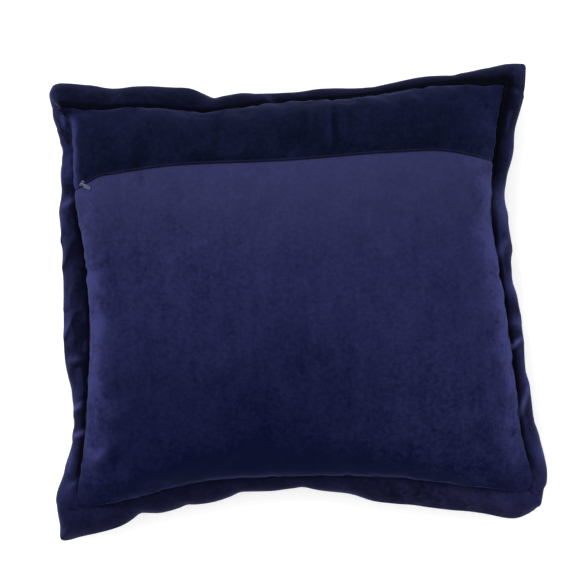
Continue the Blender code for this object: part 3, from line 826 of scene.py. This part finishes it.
class Wire:
    """A shader value that Python's operators work on."""

    def __init__(self, finish, socket):
        self.finish, self.socket = finish, socket

    def maths(self, operation, *values):
        return self.finish.node("ShaderNodeMath", {"operation": operation}, *values)

    def __add__(self, other):
        return self.maths("ADD", self, other)

    def __sub__(self, other):
        return self.maths("SUBTRACT", self, other)

    def __rsub__(self, other):
        return self.maths("SUBTRACT", other, self)

    def __mul__(self, other):
        return self.maths("MULTIPLY", self, other)

    def __truediv__(self, other):
        return self.maths("DIVIDE", self, other)

    def __neg__(self):
        return self * -1

    def __abs__(self):
        return self.maths("ABSOLUTE", self)

    __radd__ = __add__
    __rmul__ = __mul__

    def limited(self):
        return self.finish.node("ShaderNodeClamp", {}, self)

    def bell(self, centre, width):
        """1 at centre, falling to 0 about two widths away."""
        away = (self - centre) / width
        return self.maths("EXPONENT", away * away * -1)

    def rise(self, low, high):
        """Smooth step from 0 at low to 1 at high."""
        settings = {"interpolation_type": "SMOOTHSTEP"}
        return self.finish.node("ShaderNodeMapRange", settings, self, low, high, 0.0, 1.0)


class Finish:
    """One material and the nodes that vary it over a piece."""

    def __init__(self, name):
        self.material = bpy.data.materials.new(name)
        self.material.use_nodes = True
        self.tree = self.material.node_tree
        self.shader = self.tree.nodes["Principled BSDF"]

    def node(self, kind, settings, *values, out=0, **named):
        """Adds a node with its settings, and the values or links of its sockets."""
        node = self.tree.nodes.new(kind)
        for name, value in settings.items():
            setattr(node, name, value)
        for key, value in [*enumerate(values), *named.items()]:
            self.feed(node.inputs[key.replace("_", " ") if isinstance(key, str) else key], value)
        return Wire(self, node.outputs[out])

    def feed(self, socket, value):
        if isinstance(value, Wire):
            self.tree.links.new(value.socket, socket)
        elif isinstance(value, tuple) and len(value) == 3 and socket.type == "RGBA":
            socket.default_value = (*value, 1)
        else:
            socket.default_value = value

    def set(self, **values):
        """Sets or links the shader's sockets."""
        for name, value in values.items():
            self.feed(self.shader.inputs[name.replace("_", " ")], value)

    def place(self):
        return self.node("ShaderNodeTexCoord", {}, out="Object")

    def parts(self, vector):
        split = self.node("ShaderNodeSeparateXYZ", {}, vector)
        outputs = split.socket.node.outputs
        return [Wire(self, outputs[k]) for k in range(3)]

    def noise(self, vector, size, stretch=(1, 1, 1), detail=2.0, roughness=0.5):
        """Noise from 0 to 1 with features of about this size, longer along a stretched axis."""
        scale = tuple(1 / (size * s) for s in stretch)
        mapped = self.node("ShaderNodeMapping", {}, Vector=vector, Scale=scale)
        return self.node(
            "ShaderNodeTexNoise", {}, Vector=mapped, Scale=1.0, Detail=detail, Roughness=roughness
        )

    def mix(self, share, first, second):
        """Blends two colours."""
        node = self.tree.nodes.new("ShaderNodeMix")
        node.data_type = "RGBA"
        self.feed(node.inputs[0], share)
        self.feed(node.inputs[6], first)
        self.feed(node.inputs[7], second)
        return Wire(self, node.outputs[2])

    def bump(self, height, distance, strength):
        relief = self.node("ShaderNodeBump", {}, Strength=strength, Distance=distance, Height=height)
        self.set(Normal=relief)


def velvet_base(f, place, colour):
    """What both velvets share: the pile and a bluish sheen."""
    pile = f.noise(place, 0.9 * MM, detail=1.0)
    mottle = f.noise(place, 4.5 * MM, detail=3.0, roughness=0.6)
    f.set(
        Base_Color=colour, Roughness=0.92 - mottle * 0.12, Specular_IOR_Level=0.04,
        Sheen_Weight=0.22, Sheen_Roughness=0.3, Sheen_Tint=SHEEN,
    )
    f.bump(pile * 0.5 + mottle * 0.6, 0.6 * MM, 0.8)


def mark(f, name):
    """What mark_cloth or a builder stored on the piece under this name."""
    return f.node("ShaderNodeAttribute", {"attribute_name": name}, out="Fac")


def patches(x, y, places):
    return sum(x.bell(p.x, p.width) * y.bell(p.y, p.height) * p.amount for p in places)


def at_foot_corner(f, colour, x, mottle, blotch):
    """At the foot's corners, the same colour on body and flange."""
    shade = (0.25 + x.rise(-0.05, 0.05) * 0.35 + blotch * 1.0 + mottle * 0.8).limited()
    shared = f.mix(shade, FOOT_CORNER_DARK, FOOT_CORNER_LIGHT)
    return f.mix((mark(f, "foot_corner") * 0.9).limited(), colour, shared)


def at_side(x, y):
    """1 on the cushion's left and right sides, 0 on its top and bottom ones."""
    reach = abs(x) * (1 / 0.24) - abs(y) * (1 / 0.225)
    return reach.rise(-0.05, 0.03)


def glint(f, gain, start):
    """How strongly a fold's ridge catches the light, as a painted highlight."""
    return (mark(f, "fold") * gain - start).limited()


def valley_shade_strength(f, x, y):
    """How strong the painted shade of the stitched valley is: deepest at the top and right, almost none
    at the foot.
    """
    left_of_zip = (-x).rise(0.15, 0.18) * y.rise(0.10, 0.125) * (1 - y.rise(0.19, 0.205))
    at_foot = (-y).rise(0.14, 0.185) * (1 - at_side(x, y))
    by_corner = (1 - mark(f, "foot_corner")).limited()
    return (1 - at_foot * 0.92) * (1 - left_of_zip * 0.95) * by_corner


def roll_light(x, y, rim, upper, patchy):
    """How strong the painted sheen on the full roll inside the stitches is: it shows on the left and
    right sides.
    """
    roll = rim.bell(20 * MM, 14 * MM) * abs(x).rise(0.12, 0.2) * patchy
    left_top = (-x).rise(0.1, 0.15) * y.rise(0.03, 0.06)
    roll = roll * (1 - (-y).rise(0.14, 0.19) * 0.85) * (1 - y.rise(0.185, 0.198) * 0.8)
    return roll * (1 - left_top * (0.5 + upper * 0.25)) * (1 - (-y).rise(0.05, 0.13) * 0.55)


def velvet_on_body(line):
    """Velvet with its nap brushed unevenly and with painted light and shade; the upper panel, whose nap
    runs the other way, is painted darker.
    """
    f = Finish("navy_velvet")
    place = f.place()
    x, y, z = f.parts(place)
    past, rim = mark(f, "past_seam"), mark(f, "from_stitches")
    on_back = z.rise(line.level - 1 * MM, line.level + 1 * MM)
    upper = past.rise(-0.15 * MM, 0.15 * MM) * on_back
    pile = f.noise(place, 0.9 * MM, detail=1.0)
    mottle = f.noise(place, 4.5 * MM, detail=3.0, roughness=0.65) - 0.5
    blotch = f.noise(place, 22 * MM, detail=2.0) - 0.5
    brushed = f.noise(place, 12 * MM, stretch=(1, 6, 1), detail=3.0, roughness=0.6) - 0.5
    drift = f.noise(place, 120 * MM, detail=1.0) - 0.5
    # Painted light and shade: sheen on the roll, shade beside the stitches on the sides, a highlight on
    # the foot's ridge, and lit and shaded folds
    roll = roll_light(x, y, rim, upper, 0.52 + blotch * 1.9 + mottle * 1.3)
    brim_shade = rim.bell(2 * MM, 4 * MM) * abs(x).rise(0.12, 0.2) * (1 - upper) * 0.3
    ridge = rim.bell(3.2 * MM, 2.2 * MM) * (-y).rise(0.12, 0.18) * (0.6 + blotch)
    folds = mark(f, "fold") * 190 + mark(f, "lean") * 0.3
    uneven = blotch * 0.34 + brushed * 0.50 + mottle * 0.95 + (pile - 0.5) * 0.55
    uneven = uneven * (1 + patches(x, y, UNEVEN_PATCHES))

    # Lower panel: painted lighter and greyer from the foot up to the zip, where its nap catches the
    # light.
    nap = (y + 0.21) / 0.36 * 0.60 + 0.07 + patches(x, y, NAP_PATCHES)
    stronger = 0.35 + nap.limited() * 0.8
    # Random tone, mixed with the painted light and shade above and the nap's painted light
    shade = (nap + drift * 0.3 + uneven * stronger + folds + roll + ridge - brim_shade).limited()
    lower_colour = f.mix(shade, LOWER_DARK, LOWER_LIGHT)
    # Painted highlights on the folds' ridges
    lower_colour = f.mix(glint(f, 250, 0.25), lower_colour, LOWER_GLINT)
    # Painted sheen on the roll
    lower_colour = f.mix((roll * 0.7).limited(), lower_colour, LOWER_ROLL_SHEEN)
    # Painted sheen: greyer towards the zip
    lower_colour = f.mix(y.rise(0.02, 0.14) * 0.4, lower_colour, LOWER_GREY_SHEEN)

    # Upper panel: painted darker, for its nap runs the other way; painted a little lighter at its right
    # end, with a painted lit strip beside its left end.
    upper_shade = 0.19 - x.bell(0, 0.1) * 0.08 + x.rise(0.16, 0.2) * 0.12
    upper_shade = (upper_shade + uneven * 0.8 + folds + roll * 0.8).limited()
    upper_colour = f.mix(upper_shade, UPPER_DARK, UPPER_LIGHT)
    # Painted light on a strip beside the upper panel's left end
    by_corner = (-x).rise(0.18, 0.2) * y.rise(0.09, 0.13) * (1 - y.rise(0.185, 0.198))
    by_corner = (by_corner * rim.bell(9 * MM, 4.5 * MM) * 0.8).limited()
    upper_colour = f.mix(by_corner, upper_colour, UPPER_CORNER_LIGHT)

    colour = f.mix(upper, lower_colour, upper_colour)
    # Painted highlight along the lip's folded edge, and painted shadow in the seam just below it
    edge_light = (past.bell(1.3 * MM, 0.6 * MM) * on_back * 0.45).limited()
    colour = f.mix(edge_light, colour, LIP_EDGE_HIGHLIGHT)
    seam_shadow = (past.bell(-0.5 * MM, 0.55 * MM) * on_back * 0.9).limited()
    colour = f.mix(seam_shadow, colour, SEAM_SHADE)
    colour = at_foot_corner(f, colour, x, mottle, blotch)
    # Painted shade in the valley beside the stitches
    valley = (1 - rim.rise(0.5 * MM, 4.0 * MM)) * valley_shade_strength(f, x, y) * 0.9
    velvet_base(f, place, f.mix(valley.limited(), colour, VALLEY_SHADE))
    return f.material


def velvet_on_flange():
    """The flange's velvet: painted shade beside the stitches and painted light on the crests and facets
    of its sides.
    """
    f = Finish("flange_velvet")
    place = f.place()
    x, y, _ = f.parts(place)
    rim = mark(f, "from_stitches")
    mottle = f.noise(place, 5 * MM, detail=3.0, roughness=0.65) - 0.5
    blotch = f.noise(place, 24 * MM, detail=2.0) - 0.5
    beside = at_side(x, y)
    at_foot = (-y).rise(0.14, 0.19) * (1 - beside)
    top_shade = y.rise(0.14, 0.19) * (1 - beside)
    outer_light = rim.bell(28 * MM, 6 * MM) * x.rise(-0.18, -0.2) * 0.3
    facets = f.noise(place, 13 * MM, stretch=(1, 2.6, 1), detail=1.0).rise(0.52, 0.60) * beside
    folds = mark(f, "fold") * 60 + mark(f, "lean") * (0.1 + beside * 0.8)
    # Random tone, with painted light and shade: lighter at the foot and at the left side's outer edge,
    # darker at the top, lit facets and lit and shaded folds
    shade = 0.10 + at_foot * 0.12 - top_shade * 0.10 + outer_light + blotch * 0.6 + mottle * 0.6 + folds
    shade = (shade + facets * 0.35 - beside * 0.12).limited()
    colour = f.mix(shade, FLANGE_DARK, FLANGE_LIGHT)
    violet = (blotch * 4 + mottle * 2).rise(-0.8, 1.2) * (-y).rise(0.14, 0.19) * x.rise(0.0, 0.15)
    colour = f.mix(violet * 0.5, colour, FLANGE_VIOLET)
    # Painted light on the flange between the top-left corner and the zip, patchy and fading outwards
    by_corner = (-x).rise(0.18, 0.2) * y.rise(0.10, 0.125) * (1 - y.rise(0.18, 0.2))
    patchy = (0.30 + blotch * 2 + mottle * 1.2) * (1 - rim.rise(14 * MM, 24 * MM) * 0.6)
    colour = f.mix((by_corner * patchy).limited(), colour, FLANGE_CORNER_LIGHT)
    colour = at_foot_corner(f, colour, x, mottle, blotch)
    # Painted highlights on the crests of the sides' waves
    crests = glint(f, 330, 0.4) * beside * rim.rise(9 * MM, 16 * MM)
    colour = f.mix(crests.limited(), colour, FLANGE_GLINT)
    # The painted shade of the valley beside the stitches is wider at the top, on the left and most at
    # the top right.
    right_top = x.rise(0.15, 0.19) * y.rise(0.04, 0.09)
    width = 5 * MM + y.rise(0.16, 0.19) * 2 * MM + right_top * 6 * MM
    width = width + (-x).rise(0.17, 0.2) * 1.5 * MM + blotch * 6 * MM
    valley = (1 - rim.rise(width * 0.35, width)) * valley_shade_strength(f, x, y)
    colour = f.mix(valley.limited(), colour, VALLEY_SHADE)
    # Painted highlights along the single folds' ridges
    streak = mark(f, "streak") * (1 + mottle * 1.5)
    velvet_base(f, place, f.mix(streak.limited(), colour, FLANGE_STREAK_HIGHLIGHT))
    return f.material


def enamel_finish():
    """Grey-blue enamel, worn a little paler in places, with painted shade on its sunk face and on the
    slider's plate.
    """
    f = Finish("zip_enamel")
    wear = f.noise(f.place(), 1.2 * MM, detail=2.0)
    colour = f.mix(wear.rise(0.35, 0.7), ENAMEL_DARK, ENAMEL_LIGHT)
    f.set(
        Base_Color=f.mix(mark(f, "hollow") * 0.85, colour, ENAMEL_SUNK_SHADE),
        Roughness=0.32 + wear * 0.15, Metallic=0.3, Coat_Weight=0.2,
    )
    f.bump(wear, 0.05 * MM, 0.4)
    return f.material


def thread_finish():
    """Twisted navy thread."""
    f = Finish("navy_thread")
    twist = f.noise(f.place(), 0.5 * MM, detail=1.0)
    f.set(
        Base_Color=f.mix(twist, THREAD_DARK, THREAD_LIGHT),
        Roughness=0.8 + twist * 0.1, Specular_IOR_Level=0.1,
    )
    f.bump(twist, 0.2 * MM, 0.5)
    return f.material


def floor_finish():
    """Pale floor, lit a little from within so that the shadow on it stays faint."""
    f = Finish("pale_floor")
    f.set(
        Base_Color=f.mix(f.noise(f.place(), 0.4), FLOOR_DARK, FLOOR_LIGHT), Roughness=0.9,
        Emission_Color=WHITE, Emission_Strength=0.36,
    )
    return f.material


def add_light(name, size, power, place, aim=(0, 0, 0.05)):
    data = bpy.data.lights.new(name, "AREA")
    data.shape = "RECTANGLE"
    data.size, data.size_y = size
    data.energy = power
    light = bpy.data.objects.new(name, data)
    light.location = place
    light.rotation_euler = (Vector(aim) - Vector(place)).to_track_quat("-Z", "Y").to_euler()
    bpy.context.scene.collection.objects.link(light)


def build_stage():
    """Pale floor, even light from all round, and two soft lights above."""
    bm = bmesh.new()
    bmesh.ops.create_grid(bm, x_segments=1, y_segments=1, size=6)
    floor = piece_from("floor", bm)
    floor.data.materials.append(floor_finish())
    world = bpy.data.worlds.new("studio")
    world.use_nodes = True
    background = world.node_tree.nodes["Background"]
    background.inputs["Color"].default_value = (*WHITE, 1)
    background.inputs["Strength"].default_value = 0.88
    bpy.context.scene.world = world
    add_light("key", (1.0, 0.6), 22, (-0.6, 1.4, 1.5))
    add_light("fill", (1.2, 1.2), 6, (1.2, -0.9, 1.6))


def build_camera():
    """Camera straight above the zipped back and far off, as the photograph's is."""
    elevation, roll, distance = math.radians(90), math.radians(-2.3), 5.0
    seen = 0.5805          # width of the picture at the flange, where the outline lies
    aim = Vector((-0.0025, 0.0111, 0.053))
    data = bpy.data.cameras.new("camera")
    data.sensor_width = 36
    data.lens = data.sensor_width * distance / seen
    camera = bpy.data.objects.new("camera", data)
    bpy.context.scene.collection.objects.link(camera)
    bpy.context.scene.camera = camera
    turn = Matrix.Rotation(roll, 4, "Z") @ Matrix.Rotation(math.pi / 2 - elevation, 4, "X")
    camera.matrix_world = Matrix.Translation(aim) @ turn @ Matrix.Translation((0, 0, distance))


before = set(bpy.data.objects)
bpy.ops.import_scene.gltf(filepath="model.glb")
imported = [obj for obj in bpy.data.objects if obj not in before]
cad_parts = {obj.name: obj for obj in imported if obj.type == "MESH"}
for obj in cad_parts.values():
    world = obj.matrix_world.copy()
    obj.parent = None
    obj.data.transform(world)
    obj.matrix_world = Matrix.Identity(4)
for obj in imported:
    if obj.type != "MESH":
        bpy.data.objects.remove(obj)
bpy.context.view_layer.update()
solid_line = StitchedLine()
line = StitchedLine()
line.smooth()
line.widen()
velvet, flange_velvet = velvet_on_body(line), velvet_on_flange()
body = finish_piece(build_body(solid_line, line), velvet, "velvet", "filled_body")
flange = finish_piece(build_flange(solid_line, line), flange_velvet, "velvet_flange", "flange")
finish_piece(build_lip(body, line), velvet, "velvet")
finish_piece(build_stitches(line, flange), thread_finish(), "velvet_flange")
enamel = enamel_finish()
where, out_there = zip_place(body)
finish_piece(build_slider(where, out_there), enamel, "zip_metal", "zip_slider")
finish_piece(build_pull(where, out_there, body), enamel, "zip_metal", "zip_pull")
build_stage()
build_camera()
bpy.context.scene.view_settings.view_transform = "Standard"
